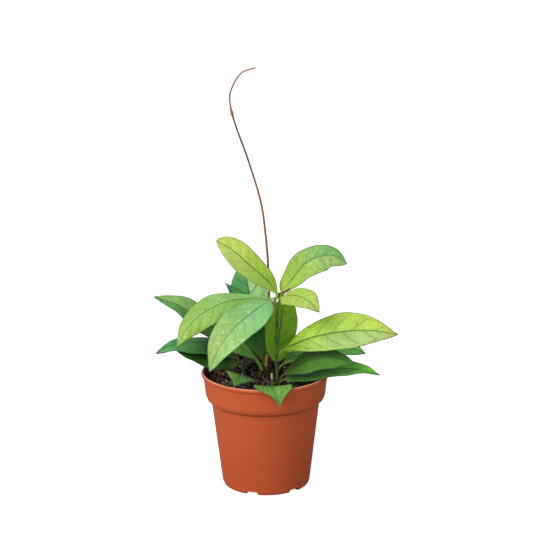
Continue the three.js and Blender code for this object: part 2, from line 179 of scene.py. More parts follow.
# Bark: a band is (colour, height, blend) and colours what lies below its height
BARKS = {
    "green_stem": dict(light="#74923e", dark="#3a5220", bands=[("#433d2a", 97, 3)]),
    # the near-black band at the tan stem's foot is painted shade among the low leaves
    "tan_stem": dict(light="#f0b466", dark="#cf8a3a", bands=[("#1c1610", 97.5, 1.2)]),
    # the grey stem's colours are darkened as painted shade, where it stands among the low leaves
    "grey_stem": dict(light="#4e523e", dark="#31352a", bands=[("#2c281e", 96, 3)]),
    "brown_shoot": dict(
        light="#a5704c", dark="#7d4c30", roughness=0.4,
        bands=[("#553014", 306, 3), ("#8f5c36", 262, 18), ("#93804a", 176, 9), ("#1e1711", 110, 8)],
    ),
    "pale_cut": dict(light="#f6eed2", dark="#d8cca2", bands=[("#5e553c", 91.5, 1)], roughness=0.6),
    "dark_spur": dict(light="#7d5232", dark="#55381f", bands=[("#86a53e", 165.4, 0.8)], roughness=0.6),
}

# Leaf shapes
SHOOT_GAP = 0.5
SHOOT_SINK = 1.3
STALK_BLEND = 0.25
STALK_ROWS = 10
BLADE = 0.9
KEEL = 0.5
KEEL_WIDTH = 1.1
GROOVE = 0.3
GROOVE_WIDTH = 0.7
TIP_HALF_WIDTH = 0.25
RIPPLES = 3
HALF_PHASE = 1.7
QUILT = 0.3
SWELL = 0.3
EDGE_WEAR = 0.035
LEAF_SPACING = 0.95
COLUMN_WIDENING = 1.6
CROWDING = 0.6

# Leaf skins
LEAF_VALUES = ("along", "across", "half_width", "phase", "blade", "upper")
CLOUD_SIZE = 14
CLOUD_SHARE = 0.12
GRAIN_SIZE = 1.3
GRAIN_SHARE = 0.22
SPECK_SIZE = 1.9
SPECK_LEAST = 0.04
SPECK_PER_FLECK = 0.26
SPECK_COLOR = "#d9e8a0"
SILVER_COLOR = "#cfe8cf"
SPOT_COLOR = "#3a3f3a"
TIP_COLOR = "#6f5c36"
UNDERSIDE_COLOR = "#9db884"
STALK_COLOR = "#8f9a5c"
VEIN_WANDER = 0.35
LOOP_PLACE = 0.7
LOOP_ARCH = 0.15
HALO_SHARE = 0.18
NET_SIZE = 2.6
NET_SHARE = 0.16
LEAF_RELIEF = 0.12

# Leaves: left and right are (width, base, tip) of a half blade, which ends blunter the smaller base or tip
# is. rib is its midrib. near and far are the colours of its (left, right) half by the stalk and by the tip.
# A leaf has the habit's values where it gives none.
LEAF_HABIT = dict(stem="main_stem", stalk=0.9, wave=0.5, veins=8, lean=0.2, contrast=0.22, flecks=0.2)
LEAVES = {
    "leaf_top_left": dict(
        height=162.6, left=(12, 1.1, 0.85), right=(10.5, 0.95, 0.55), facing=(0.3, -0.85, 0.4), fold=12,
        rib=[(9.6, -15.8, 165.4), (2.3, -13.9, 175.7), (-11.5, -11, 187.5), (-25, -7, 199),
             (-38.5, -3, 206.5)],
        slot="young_leaf", near=("#9dc542", "#89b119"), far=("#c2dd75", "#c5db5f"), vein="#4d6f22",
        margin="#66802c", veins=7, lean=0.25, contrast=0.34, flecks=0.15,
    ),
    "leaf_top_right": dict(
        height=163.6, left=(11.2, 0.6, 0.88), right=(14, 1.05, 0.78),
        facing=(-0.3, -0.8, 0.5), fold=5, wave=0.8,
        rib=[(13.5, -11, 165.5), (21.6, -11.4, 175.2), (32, -12.2, 188.7), (42.5, -14, 195),
             (54.5, -17, 197), (65.5, -22, 191.5)],
        slot="light_leaf", near=("#a0c32b", "#a5cb33"), far=("#65ab56", "#93b964"), vein="#44703a",
        margin="#1f5f48", veins=7, contrast=0.38, flecks=0.5,
    ),
    "leaf_top_small": dict(
        height=161, left=(10.3, 0.95, 1), right=(14.3, 0.66, 1), facing=(0.1, -0.6, 0.8), fold=6,
        rib=[(13.4, -16.7, 162.1), (22.5, -24, 166.2), (30, -32, 166.5), (36.5, -38, 164),
             (43, -43, 157.5)],
        slot="young_leaf", near=("#afd156", "#b9d75e"), far=("#bbda6c", "#bddb6b"), vein="#63842f",
        margin="#5f7a36", veins=6, lean=0.25, contrast=0.32, flecks=0.3,
    ),
    "leaf_left_upper": dict(
        height=160.6, left=(13.2, 1, 1), right=(15.3, 2, 1.6), facing=(-0.1, -0.6, 0.8), fold=-16, wave=0.8,
        rib=[(2.5, -12.5, 160), (-13.5, -12.5, 160.5), (-31, -14.5, 158.5), (-48.5, -19, 151.2),
             (-62, -26, 140), (-71.5, -35, 126.5)],
        slot="light_leaf", near=("#84be5d", "#94d182"), far=("#98c24d", "#9cc258"), vein="#4a7a34",
        margin="#6f9a3c", contrast=0.4, flecks=0.45,
    ),
    "leaf_left_front": dict(
        height=157.6, left=(17.5, 0.7, 0.9), right=(15, 1, 0.95),
        facing=(-0.35, -0.75, 0.55), fold=6, wave=0.8,
        rib=[(4.5, -18, 159.5), (-5, -28, 157), (-16.5, -39, 151), (-27, -48, 143.5), (-36.5, -54, 131),
             (-44, -57, 113.5)],
        slot="light_leaf", near=("#90d594", "#8cd287"), far=("#98c466", "#98ba54"), vein="#3a8352",
        margin="#58a468", veins=7, lean=0.22, contrast=0.4, flecks=0.9, rib_near="#0f7a50",
    ),
    "leaf_far_left": dict(
        stem="back_stem", height=93.5, stalk=1.4, left=(15, 1.2, 1.1), right=(13.5, 1.2, 0.9),
        facing=(0.3, -0.5, 0.8), fold=5, wave=0.8,
        rib=[(-7, 7, 102.5), (-18, 5, 113), (-35, 3, 126.5), (-52.5, 0, 140), (-70, -3, 152.5),
             (-89.5, -5, 160.5)],
        slot="green_leaf", near=("#75b443", "#87c35f"), far=("#66a953", "#96c873"), vein="#2f6636",
        margin="#3f7a44", contrast=0.32, flecks=0.4,
    ),
    # its colours by the stalk are darkened as the painted shadow of leaf_left_upper
    "leaf_low_left": dict(
        stem="left_stem", height=101.5, left=(12.5, 0.8, 1), right=(12.5, 0.8, 1),
        facing=(0, -0.3, 0.95), fold=-9, wave=0.7,
        rib=[(-24, 3, 107.5), (-35, 1, 114), (-48, -1, 119), (-62.5, -4, 121), (-77, -8, 120),
             (-88.5, -12, 114.5)],
        slot="green_leaf", near=("#2e4b13", "#274010"), far=("#59a259", "#509b56"), vein="#2b5f3a",
        margin="#2f6a44", contrast=0.25, flecks=0.12,
    ),
    "leaf_low_left_under": dict(
        stem="left_stem", height=97.5, left=(13, 0.8, 0.9), right=(13, 0.8, 0.9),
        facing=(0, -0.45, 0.9), fold=2,
        rib=[(-23, 4, 99.5), (-33, 1.5, 104), (-46.5, -3, 108.5), (-59.5, -6, 113), (-72, -8, 116)],
        slot="dark_leaf", near=("#254c07", "#234707"), far=("#285307", "#254e08"), vein="#24501f",
        margin="#2a5a24", flecks=0.3,
    ),
    "leaf_right_large": dict(
        height=114, left=(15.3, 2.1, 1.15), right=(16.9, 1.55, 0.95),
        facing=(0, -0.75, 0.65), fold=10, wave=0.9,
        rib=[(13.5, -14, 117), (21, -15, 121.5), (38, -17, 129), (57.5, -19, 133.5), (81.5, -20, 135.5),
             (107, -19, 131.5)],
        slot="young_leaf", near=("#b5ed22", "#adde24"), far=("#cbf061", "#bfdf88"), vein="#35611c",
        margin="#4c7228", veins=7, lean=0.24, contrast=0.75, spots=1.0, blush="#dcb03a",
    ),
    # its left half's colours are darkened as painted shade cast by leaf_right_large above it
    "leaf_right_middle": dict(
        height=93.2, left=(12.5, 0.9, 1.1), right=(15.5, 1.2, 1.3),
        facing=(0, -0.4, 0.92), fold=4, wave=0.6,
        rib=[(15, -15, 97), (24.5, -18, 104), (37.5, -21, 110.5), (50.5, -24, 113.5), (62.5, -26, 112.5),
             (72.5, -27, 109)],
        slot="green_leaf", near=("#2d4401", "#4e7e1d"), far=("#4c7a30", "#549232"), vein="#35702c",
        margin="#2f7050", flecks=0.12,
    ),
    "leaf_right_low": dict(
        height=90.2, left=(12.5, 0.9, 1), right=(12.5, 0.9, 1.4), facing=(0, -0.3, 0.95), fold=5, wave=0.6,
        rib=[(15, -14, 92.5), (28, -15, 96.5), (46, -17, 100.5), (64.5, -18, 102.5), (79.5, -18, 101),
             (92.5, -18, 97)],
        slot="dark_leaf", near=("#43821a", "#3d7518"), far=("#86e849", "#70cf4a"), vein="#245222",
        margin="#2a6040", flecks=0.3,
    ),
    "leaf_right_back": dict(
        height=101, left=(13, 1.1, 0.9), right=(13, 1.1, 0.9), facing=(0, -0.35, 0.93), fold=6, wave=0.6,
        rib=[(15, -6, 103.5), (24, 1, 107), (38, 6, 110.5), (54.5, 9, 112), (69.5, 10, 110.5),
             (82, 9, 107)],
        slot="green_leaf", near=("#60b53c", "#64bc40"), far=("#96ff82", "#93fe7e"), vein="#2a6030",
        margin="#2f6a40", flecks=0.4,
    ),
    "leaf_behind_stem": dict(
        height=97.5, left=(12.5, 0.6, 0.6), right=(13.5, 0.6, 0.6), facing=(0, -1, 0.1), fold=5,
        rib=[(9.5, -7, 105.5), (10.5, -4.5, 119), (12.5, -3, 135.5), (14, -2.5, 149.5), (15, -2, 161)],
        slot="green_leaf", near=("#7bbf18", "#77bf0d"), far=("#91c621", "#8bc116"), vein="#3a6a22",
        margin="#3a6a26", veins=7, lean=0.25, contrast=0.45, flecks=0.15,
    ),
    "leaf_back_tall": dict(
        stem="back_stem", height=95, left=(16.5, 0.9, 1), right=(15.5, 0.9, 0.8),
        facing=(-0.1, -0.95, 0.2), fold=6, wave=0.8,
        rib=[(-0.5, 14, 101), (-4.5, 18, 114), (-9.5, 23, 134), (-13, 27, 155), (-15, 28, 170),
             (-14.5, 27, 181)],
        slot="blue_leaf", near=("#74af67", "#aeeb92"), far=("#70ba74", "#c9ffad"), vein="#2c6a40",
        margin="#2c6a48", veins=6, lean=0.3, contrast=1,
    ),
    "leaf_back_slim": dict(
        stem="back_stem", height=99, left=(10, 0.9, 2), right=(10, 0.9, 1.3),
        facing=(0, -0.9, 0.4), fold=8, wave=0.6,
        rib=[(-2.5, 9.5, 104.5), (-7.5, 11, 120.5), (-14, 12.5, 137), (-21, 13.5, 150.5),
             (-27.5, 14, 159.5), (-32.5, 14, 167)],
        slot="dark_leaf", near=("#1e7718", "#1b7314"), far=("#4fb063", "#49a357"), vein="#1f5530",
        margin="#225c3c", veins=7, lean=0.25, contrast=0.25,
    ),
    "leaf_dry": dict(
        stem="left_stem", height=96, left=(4.5, 0.6, 0.8), right=(4.5, 0.6, 0.8),
        facing=(0.2, -0.8, 0.5), fold=15, wave=0.8,
        rib=[(-15.5, 8.5, 99.5), (-13.8, 11, 103), (-12.3, 13, 106), (-11, 14.5, 109)],
        slot="dry_leaf", near=("#6b604c", "#5e5442"), far=("#7a6e58", "#6a5f4c"), vein="#3a3226",
        margin="#4a4234", veins=5, lean=0.3, contrast=0.3,
    ),
    "leaf_front_left": dict(
        stem="left_stem", height=92.5, left=(13.5, 0.42, 1.25), right=(13.2, 0.55, 1.35),
        facing=(0.25, -0.3, 0.9), fold=-3,
        rib=[(-19.5, -4, 93), (-20, -13, 96), (-20.8, -22, 98), (-22.8, -31, 97.5), (-25.2, -39, 94)],
        slot="green_leaf", near=("#609e5d", "#77aa46"), far=("#7db458", "#87b852"), vein="#35702f",
        margin="#2f6a3c", veins=6, lean=0.3, contrast=0.25, flecks=0.6,
    ),
    "leaf_front": dict(
        height=90, left=(16, 3.4, 2), right=(15, 3, 2.9), facing=(0.04, -0.3, 0.9), fold=6,
        rib=[(5.5, -19, 90.2), (5, -29, 91.8), (5, -39.5, 94.2), (5.8, -50, 97.2), (8.3, -57.5, 93.2),
             (11.5, -61.5, 83.5)],
        slot="light_leaf", near=("#2d5a14", "#2b5814"), far=("#73a646", "#73a646"), vein="#3c7a30",
        margin="#3a7a38", veins=7, lean=0.3, contrast=0.25, flecks=1.1,
    ),
}


def linear(color):
    """The linear RGBA of a colour written as #rrggbb."""
    parts = [int(color[i:i + 2], 16) / 255 for i in (1, 3, 5)]
    return (*(c / 12.92 if c <= 0.04045 else ((c + 0.055) / 1.055) ** 2.4 for c in parts), 1.0)


def smoothstep(value, start, end):
    share = min(max((value - start) / (end - start), 0.0), 1.0)
    return share * share * (3 - 2 * share)


def lerp(first, second, share):
    return first + (second - first) * share


def chain_length(points):
    return sum((b - a).length for a, b in zip(points, points[1:]))


def add_node(tree, kind, inputs, **settings):
    """Adds a node and returns its outputs. An input is given a value or another node's output."""
    node = tree.nodes.new("ShaderNode" + kind)
    for name, value in settings.items():
        setattr(node, name, value)
    for key, value in inputs.items():
        feed(tree, node.inputs[key], value)
    return node.outputs


def feed(tree, socket, value):
    if isinstance(value, bpy.types.NodeSocket):
        tree.links.new(value, socket)
    else:
        socket.default_value = value


class Paint:
    """A node material in the making. Its sizes and distances are in millimetres."""

    def __init__(self, name):
        self.material = bpy.data.materials.new(name)
        self.material.use_nodes = True
        self.tree = self.material.node_tree
        self.shader = self.tree.nodes["Principled BSDF"]
        self.place = self.add("TexCoord", {})["Object"]

    def add(self, kind, inputs, **settings):
        return add_node(self.tree, kind, inputs, **settings)

    def set(self, **values):
        for name, value in values.items():
            feed(self.tree, self.shader.inputs[name.replace("_", " ")], value)

    def math(self, operation, *values):
        return self.add("Math", dict(enumerate(values)), operation=operation)[0]

    def plus(self, first, second):
        return self.math("ADD", first, second)

    def minus(self, first, second):
        return self.math("SUBTRACT", first, second)

    def times(self, first, second):
        return self.math("MULTIPLY", first, second)

    def ramp(self, value, start, end, low=0.0, high=1.0):
        """low up to start, high from end on, and a smooth turn between them."""
        inputs = {"Value": value, "From Min": start, "From Max": end, "To Min": low, "To Max": high}
        return self.add("MapRange", inputs, interpolation_type="SMOOTHSTEP")["Result"]

    def noise(self, size, detail=2.0, stretch=(1, 1, 1)):
        """Noise whose features are about size across."""
        place = self.add("Mapping", {"Vector": self.place, "Scale": stretch})["Vector"]
        return self.add("TexNoise", {"Vector": place, "Scale": 1 / (size * MM), "Detail": detail})["Fac"]

    def cell_edges(self, size):
        """The distance to the nearest edge of cells about size across, in shares of a cell."""
        inputs = {"Vector": self.place, "Scale": 1 / (size * MM)}
        return self.add("TexVoronoi", inputs, feature="DISTANCE_TO_EDGE")["Distance"]

    def height(self):
        return self.times(self.add("SeparateXYZ", {0: self.place})["Z"], 1 / MM)

    def from_axis(self):
        """The distance from the pot's axis."""
        flat = self.add("VectorMath", {0: self.place, 1: (1, 1, 0)}, operation="MULTIPLY")["Vector"]
        return self.times(self.add("VectorMath", {0: flat}, operation="LENGTH")["Value"], 1 / MM)

    def mix(self, share, first, second):
        return self.add("Mix", {0: share, 6: first, 7: second}, data_type="RGBA")[2]

    def layers(self, color, *layers):
        """The colour under layers, each given as (colour written #rrggbb, share)."""
        for over, share in layers:
            color = self.mix(share, color, linear(over))
        return color

    def bump(self, height, depth):
        """Relief of a depth, from a height that runs from 0 to 1."""
        self.set(Normal=self.add("Bump", {"Height": height, "Distance": depth * MM})["Normal"])


def leaf_lamina(paint, leaf, at, cloud, grain):
    """Each half's turn from its near to its far colour, mottled and with pale specks."""
    reached = paint.ramp(paint.plus(at["along"], paint.times(cloud, 0.3)), 0.2, 1.0)
    left, right = (paint.mix(reached, linear(near), linear(far))
                   for near, far in zip(leaf["near"], leaf["far"]))
    most = SPECK_LEAST + SPECK_PER_FLECK * leaf["flecks"]
    return paint.layers(
        paint.mix(at["right_half"], left, right),
        (leaf["vein"], paint.ramp(grain, 0.45, 0.62, 0.0, GRAIN_SHARE)),
        (SPECK_COLOR, paint.ramp(paint.noise(SPECK_SIZE, 2), 0.52, 0.66, 0.0, most)),
        (leaf["vein"], paint.ramp(cloud, 0.35, 0.7, 0.0, CLOUD_SHARE)))


def side_veins(paint, leaf, at):
    """The millimetres to the nearest side vein, and how clearly the side veins and their loops show."""
    wander = paint.times(paint.minus(paint.noise(6), 0.5), VEIN_WANDER)
    phase = paint.plus(paint.plus(at["phase"], wander), paint.times(at["right_half"], 0.5))
    to_vein = paint.times(paint.math("PINGPONG", phase, 0.5), vein_spacing(leaf))
    arch = paint.math("SINE", paint.times(paint.math("FRACT", phase), math.pi))
    loop_place = paint.plus(LOOP_PLACE, paint.times(arch, LOOP_ARCH))
    to_loop = paint.times(paint.math("ABSOLUTE", paint.minus(at["off_rib"], loop_place)), at["half_width"])
    vein = paint.times(paint.ramp(to_vein, 0.05, 0.42, 1.0, 0.0),
                       paint.ramp(at["off_rib"], 0.62, 0.8, 1.0, 0.0))
    loop = paint.ramp(to_loop, 0.05, 0.4, 0.6, 0.0)
    lines = paint.times(paint.math("MAXIMUM", vein, loop), paint.ramp(paint.noise(9), 0.3, 0.6, 0.35, 1.0))
    return to_vein, paint.times(lines, paint.ramp(at["along"], 0.9, 1.0, 1.0, 0.0))


def leaf_veins(paint, leaf, at, color, to_vein, lines):
    """A soft halo by the veins, the fine net between them, and the veins themselves."""
    near_vein = paint.math("MINIMUM", at["rib_distance"], to_vein)
    halo = paint.ramp(near_vein, 0.2, 2.2, HALO_SHARE * leaf["contrast"], 0.0)
    net = paint.ramp(paint.cell_edges(NET_SIZE), 0.0, 0.09, NET_SHARE * leaf["contrast"], 0.0)
    shares = (halo, net, paint.times(lines, leaf["contrast"]))
    return paint.layers(color, *((leaf["vein"], share) for share in shares))


def silver_flecks(paint):
    """The share of silver: small dots, thicker in places, and a few larger splashes."""
    dots = paint.times(paint.ramp(paint.noise(2.2, 3), 0.64, 0.72),
                       paint.ramp(paint.noise(16), 0.45, 0.6, 0.25, 1.0))
    splash = paint.times(paint.ramp(paint.noise(13), 0.6, 0.68), paint.ramp(paint.noise(2.4, 4), 0.5, 0.62))
    return paint.math("MAXIMUM", paint.times(dots, 0.42), paint.times(splash, 0.7))


def midrib(paint, leaf, at, color):
    """The midrib's line, which narrows towards the tip."""
    line = paint.ramp(at["rib_distance"], paint.math("MULTIPLY_ADD", at["along"], -0.3, 0.38),
                      paint.math("MULTIPLY_ADD", at["along"], -0.3, 0.75), 1.0, 0.0)
    near = linear(leaf.get("rib_near", leaf["vein"]))
    rib_color = paint.mix(paint.ramp(at["along"], 0.3, 0.75), near, linear(leaf["vein"]))
    return paint.mix(paint.times(line, 0.9), color, rib_color)


def leaf_margin(paint, leaf, at, color, cloud):
    """The dark margin, partly its own pigment and partly painted shade of the edge, with the spots and the
    blush that some leaves have, and the brown tip.
    """
    # the dark margin is partly pigment, partly painted shade on the blade's thin edge
    to_margin = paint.times(paint.minus(1.0, at["off_rib"]), at["half_width"])
    edge = paint.times(paint.ramp(to_margin, 0.2, 1.0, 0.9, 0.0), at["blade"])
    layers = [(leaf["margin"], edge)]
    if "spots" in leaf:
        spots = paint.times(paint.ramp(to_margin, 0.4, 2.4, 1.0, 0.0),
                            paint.ramp(paint.noise(2.6), 0.6, 0.68))
        layers.append((SPOT_COLOR, paint.times(spots, leaf["spots"])))
    if "blush" in leaf:
        blushing = paint.times(paint.ramp(at["along"], 0.72, 0.95), paint.ramp(cloud, 0.35, 0.6))
        layers.append((leaf["blush"], paint.times(blushing, 0.3)))
    return paint.layers(color, *layers, (TIP_COLOR, paint.ramp(at["along"], 0.965, 0.99, 0.0, 0.4)))


def leaf_paint(name, leaf):
    """Leaf skin: two-tone lamina, midrib, looping side veins, a dark margin and silver flecks."""
    paint = Paint(name + "_skin")
    at = {key: paint.add("Attribute", {}, attribute_name=key)["Fac"] for key in LEAF_VALUES}
    at["off_rib"] = paint.math("ABSOLUTE", at["across"])
    at["right_half"] = paint.ramp(at["across"], -0.06, 0.06)
    at["rib_distance"] = paint.times(at["off_rib"], at["half_width"])
    cloud = paint.noise(CLOUD_SIZE)
    grain = paint.noise(GRAIN_SIZE, 3)
    to_vein, lines = side_veins(paint, leaf, at)

    color = leaf_lamina(paint, leaf, at, cloud, grain)
    color = leaf_veins(paint, leaf, at, color, to_vein, lines)
    color = paint.layers(color, (SILVER_COLOR, paint.times(silver_flecks(paint), leaf["flecks"])))
    color = midrib(paint, leaf, at, color)
    color = leaf_margin(paint, leaf, at, color, cloud)
    color = paint.mix(at["upper"], paint.layers(color, (UNDERSIDE_COLOR, 0.45)), color)
    stalk = paint.layers(linear(leaf["near"][0]), (STALK_COLOR, 0.4))
    color = paint.mix(at["blade"], stalk, color)

    paint.set(Base_Color=color, Roughness=paint.ramp(grain, 0.3, 0.7, 0.36, 0.52), Specular_IOR_Level=0.3)
    paint.set(Subsurface_Weight=0.12, Subsurface_Scale=0.8 * MM, Subsurface_Radius=(1.0, 1.0, 0.3))
    paint.bump(paint.plus(grain, paint.times(lines, -0.6)), LEAF_RELIEF)
    return paint.material


def pot_paint():
    """Terracotta-coloured plastic: faint flow marks, painted shade in the creases and towards the bottom, a
    painted highlight along the lip's top, and soil stain with painted shade inside.
    """
    paint = Paint("terracotta_plastic")
    flow = paint.noise(60, 3, (1, 1, 2.5))
    grain = paint.noise(0.7, 2)
    rings = paint.noise(1.6, 2, (0.03, 0.03, 1))
    height = paint.height()
    crease_shades = []
    # dark lines of painted shade along the step and just under the lip
    for crease, reach, share in CREASE_SHADES:
        to_crease = paint.math("ABSOLUTE", paint.minus(height, crease))
        crease_shades.append(("#5c2413", paint.ramp(to_crease, 0.0, reach, share, 0.0)))
    # the inside above the soil is darkened: partly soil stain, partly painted shade under the leaves
    outwards = paint.minus(paint.from_axis(), paint.ramp(height, 91, 95.5, 49.6, 50.9))
    inside = paint.ramp(outwards, -0.2, 0.1, 0.85, 0.0)
    color = paint.layers(
        paint.mix(flow, linear("#c7592f"), linear("#d16338")),
        ("#8f3f24", paint.ramp(grain, 0.3, 0.75, 0.0, 0.12)),
        # painted shade: darker towards the bottom, where less light reaches
        ("#a03e1c", paint.ramp(height, 0.0, 70, 0.3, 0.0)),
        *crease_shades,
        ("#a8431f", paint.ramp(rings, 0.4, 0.65, 0.0, 0.06)),
        # painted highlight along the top of the lip
        ("#eeb094", paint.ramp(height, POT_HEIGHT - 0.9, POT_HEIGHT - 0.2, 0.0, 0.8)),
        ("#2c1c15", paint.times(inside, paint.ramp(height, *STAIN_AND_SHADE_EDGE))))
    paint.set(Base_Color=color, Roughness=paint.ramp(flow, 0.3, 0.7, 0.52, 0.62), Specular_IOR_Level=0.2)
    paint.bump(paint.plus(grain, paint.noise(3, 2, (0.3, 0.3, 4))), 0.06)
    return paint.material


def soil_paint():
    """Dark peat, mottled red-brown and black, with painted shade darkening it towards the stems under the
    leaves.
    """
    paint = Paint("potting_mix")
    color = paint.layers(
        linear("#150806"),
        ("#70341e", paint.ramp(paint.noise(2.5, 4), 0.42, 0.66)),
        ("#c4744c", paint.ramp(paint.noise(0.8, 3), 0.62, 0.7, 0.0, 0.8)),
        ("#e2cbbb", paint.ramp(paint.noise(0.45, 2), 0.69, 0.73, 0.0, 0.8)),
        # painted shade under the leaves, darkest near the stems
        ("#070402", paint.ramp(paint.from_axis(), *LEAF_SHADE_EDGE, 0.96, 0.0)))
    paint.set(Base_Color=color, Roughness=0.9, Specular_IOR_Level=0.12)
    paint.bump(paint.noise(0.8, 4), 0.4)
    return paint.material


def litter_paint(name, base, mottle, size, detail, most, relief, **finish):
    """Loose bits of the mix: a base colour with mottles of a size."""
    paint = Paint(name)
    mottles = paint.ramp(paint.noise(size, detail), 0.4, most)
    paint.set(Base_Color=paint.layers(linear(base), (mottle, mottles)), **finish)
    paint.bump(paint.noise(relief, 3), 0.2)
    return paint.material


def stem_paint(name, light, dark, bands, roughness=0.5):
    """Bark in lengthwise streaks of light and dark, with its bands laid over it."""
    paint = Paint(name)
    streaks = paint.noise(1.2, 3, (1, 1, 0.15))
    height = paint.height()
    color = paint.layers(
        linear(light),
        (dark, paint.ramp(streaks, 0.35, 0.65)),
        (dark, paint.ramp(paint.noise(2.2, 3), 0.6, 0.75, 0.0, 0.4)),
        *((below, paint.ramp(height, top - blend, top + blend, 0.9, 0.0))
          for below, top, blend in bands))
    paint.set(Base_Color=color, Roughness=roughness, Specular_IOR_Level=0.4)
    paint.bump(streaks, 0.15)
    return paint.material


def smooth_path(points):
    """The curve through the points that the solids follow too."""
    def at(share):
        spot = share * (len(points) - 1)
        first = min(max(int(spot), 0), len(points) - 2)
        rest = spot - first
        start, end = points[first], points[first + 1]
        before = points[first - 1] if first > 0 else 2 * start - end
        after = points[first + 2] if first + 2 < len(points) else 2 * end - start
        leaving, arriving = (end - before) / 2, (after - start) / 2
        squared = 3 * (end - start) - 2 * leaving - arriving
        cubed = 2 * (start - end) + leaving + arriving
        return start + leaving * rest + squared * rest ** 2 + cubed * rest ** 3
    return at


def evenly(path, steps=400):
    """The same path, with equal shares of its length."""
    spots = [path(step / steps) for step in range(steps + 1)]
    travelled = [0.0]
    for a, b in zip(spots, spots[1:]):
        travelled.append(travelled[-1] + (b - a).length)

    def at(share):
        target = min(max(share, 0.0), 1.0) * travelled[-1]
        low = min(bisect.bisect_right(travelled, target) - 1, steps - 1)
        rest = (target - travelled[low]) / max(travelled[low + 1] - travelled[low], 1e-9)
        return path((low + rest) / steps)
    return at


def path_length(path, steps=200):
    return chain_length([path(step / steps) for step in range(steps + 1)])


def heading(path, share):
    """The way that the path runs at a share of it."""
    return (path(share + 1e-4) - path(share - 1e-4)).normalized()


def add_object(name, data):
    made = bpy.data.objects.new(name, data)
    bpy.context.scene.collection.objects.link(made)
    return made


def add_mesh(name, corners, faces):
    """An object with a mesh in metres, from corners in millimetres."""
    mesh = bpy.data.meshes.new(name)
    mesh.from_pydata([Vector(corner) * MM for corner in corners], [], faces)
    return add_object(name, mesh)


def make_piece(name, corners, faces, material, slot, replaced=None, smooth=True):
    """A piece of the visual model, which rides on the plant's one body."""
    piece = add_mesh(name, corners, faces)
    piece.data.polygons.foreach_set("use_smooth", [smooth] * len(faces))
    piece.data.materials.append(material)
    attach(piece, "root")
    if replaced:
        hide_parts(replaced)
    return piece


def weld(piece, distance):
    """Joins the piece's corners that coincide and turns its faces outwards."""
    work = bmesh.new()
    work.from_mesh(piece.data)
    bmesh.ops.remove_doubles(work, verts=work.verts, dist=distance)
    bmesh.ops.dissolve_degenerate(work, edges=work.edges, dist=distance)
    bmesh.ops.recalc_face_normals(work, faces=work.faces)
    work.to_mesh(piece.data)
    work.free()


def stem_path(stem):
    x, y, _ = stem["route"][0]
    foot = (x, y, SOIL_TOP - STEM_DEPTH + FOOT_GAP)
    return smooth_path([Vector(point) for point in [foot, *stem["route"]]])


def stem_radius(stem, height, along):
    radius = lerp(stem["radius"], stem.get("tip_radius", stem["radius"]), along)
    if height > SOIL_TOP:
        for at, swell, reach in stem["nodes"]:
            radius += swell * math.exp(-(((height - at) / reach) ** 2))
    return radius


def shoot_start(stem_name, height, towards, radius):
    """Where a side shoot begins on its stem."""
    stem = STEMS[stem_name]
    path = stem_path(stem)
    share = 0.0
    while path(share).z < height:
        share += 0.001
    axis = path(share)
    away = Vector(towards) - axis
    outward = Vector((away.x, away.y, 0)).normalized()
    slant = math.sqrt(max(0.0, 1 - away.normalized().dot(outward) ** 2))
    return axis + outward * (stem_radius(stem, height, share) + SHOOT_GAP + radius * slant)


def tube(path, length, radius_at, spacing):
    """Corners and faces of a round tube along a path, with flat ends."""
    steps = max(6, round(length / spacing))
    shares = [step / steps for step in range(steps + 1)]
    vertices, faces = [], []
    across = Vector((1, 0, 0))
    for index, share in enumerate([0.0, *shares, 1.0]):
        forward = heading(path, share)
        across = (across - forward * across.dot(forward)).normalized()
        other = forward.cross(across)
        centre = path(share)
        radius = radius_at(centre, share) * (CAP_SHARE if index in (0, steps + 2) else 1)
        for side in range(STEM_SIDES):
            angle = 2 * math.pi * side / STEM_SIDES
            cosine, sine = math.cos(angle), math.sin(angle)
            dents = noise.noise(centre * 0.8 + Vector((3 * cosine, 3 * sine, 0)))
            reach = radius * (1 + BARK_DENTS * dents)
            vertices.append(centre + reach * (across * cosine + other * sine))
    for ring in range(steps + 2):
        for side in range(STEM_SIDES):
            here, right = ring * STEM_SIDES + side, ring * STEM_SIDES + (side + 1) % STEM_SIDES
            faces.append((here, right, right + STEM_SIDES, here + STEM_SIDES))
    faces.append(tuple(range(STEM_SIDES - 1, -1, -1)))
    faces.append(tuple(range(len(vertices) - STEM_SIDES, len(vertices))))
    return vertices, faces


def build_bark(name, path, radius_at, material, slot, spacing):
    vertices, faces = tube(evenly(path), path_length(path), radius_at, spacing)
    piece = make_piece(name + "_bark", vertices, faces, material, slot, name)
    weld(piece, WELD)


def build_stem(name, stem, finishes):
    build_bark(name, stem_path(stem), lambda centre, share: stem_radius(stem, centre.z, share),
               finishes[stem["finish"]], stem["finish"], STEM_SPACING)


def build_spur(name, spur, finishes):
    """A short shoot that starts inside the bark of its stem."""
    start = shoot_start(spur["stem"], spur["height"], spur["route"][0], spur["radius"])
    points = [Vector(point) for point in spur["route"]]
    root = start - (points[0] - start).normalized() * SHOOT_SINK
    build_bark(name, smooth_path([root, start, *points]), lambda centre, share: spur["radius"],
               finishes[spur["finish"]], spur["slot"], SPUR_SPACING)


def blade_reach(half, along):
    """The width of one half of a blade, from its midrib to its edge."""
    width, base, tip = half
    widest = base / (base + tip)
    return width * (along / widest) ** base * ((1 - along) / (1 - widest)) ** tip


def edge_wear(number, half, along):
    """How much wider or narrower a blade is than its smooth outline, as on any grown leaf."""
    row = Vector((along * 9, number * 3.7, 0 if half == "left" else 5))
    return 1 + EDGE_WEAR * noise.noise(row) + 0.35 * EDGE_WEAR * noise.noise(row * 3)


def vein_phase(leaf, along, off_rib):
    """A whole number on each side vein, which leaves the midrib and leans towards the tip."""
    return leaf["veins"] * (along - leaf["lean"] * off_rib ** 1.4 * (1.15 - 0.7 * along))


def rib_length(leaf):
    return chain_length([Vector(point) for point in leaf["rib"]])


def vein_spacing(leaf):
    """Millimetres from one side vein to the next, square to them."""
    return 0.8 * rib_length(leaf) / leaf["veins"]


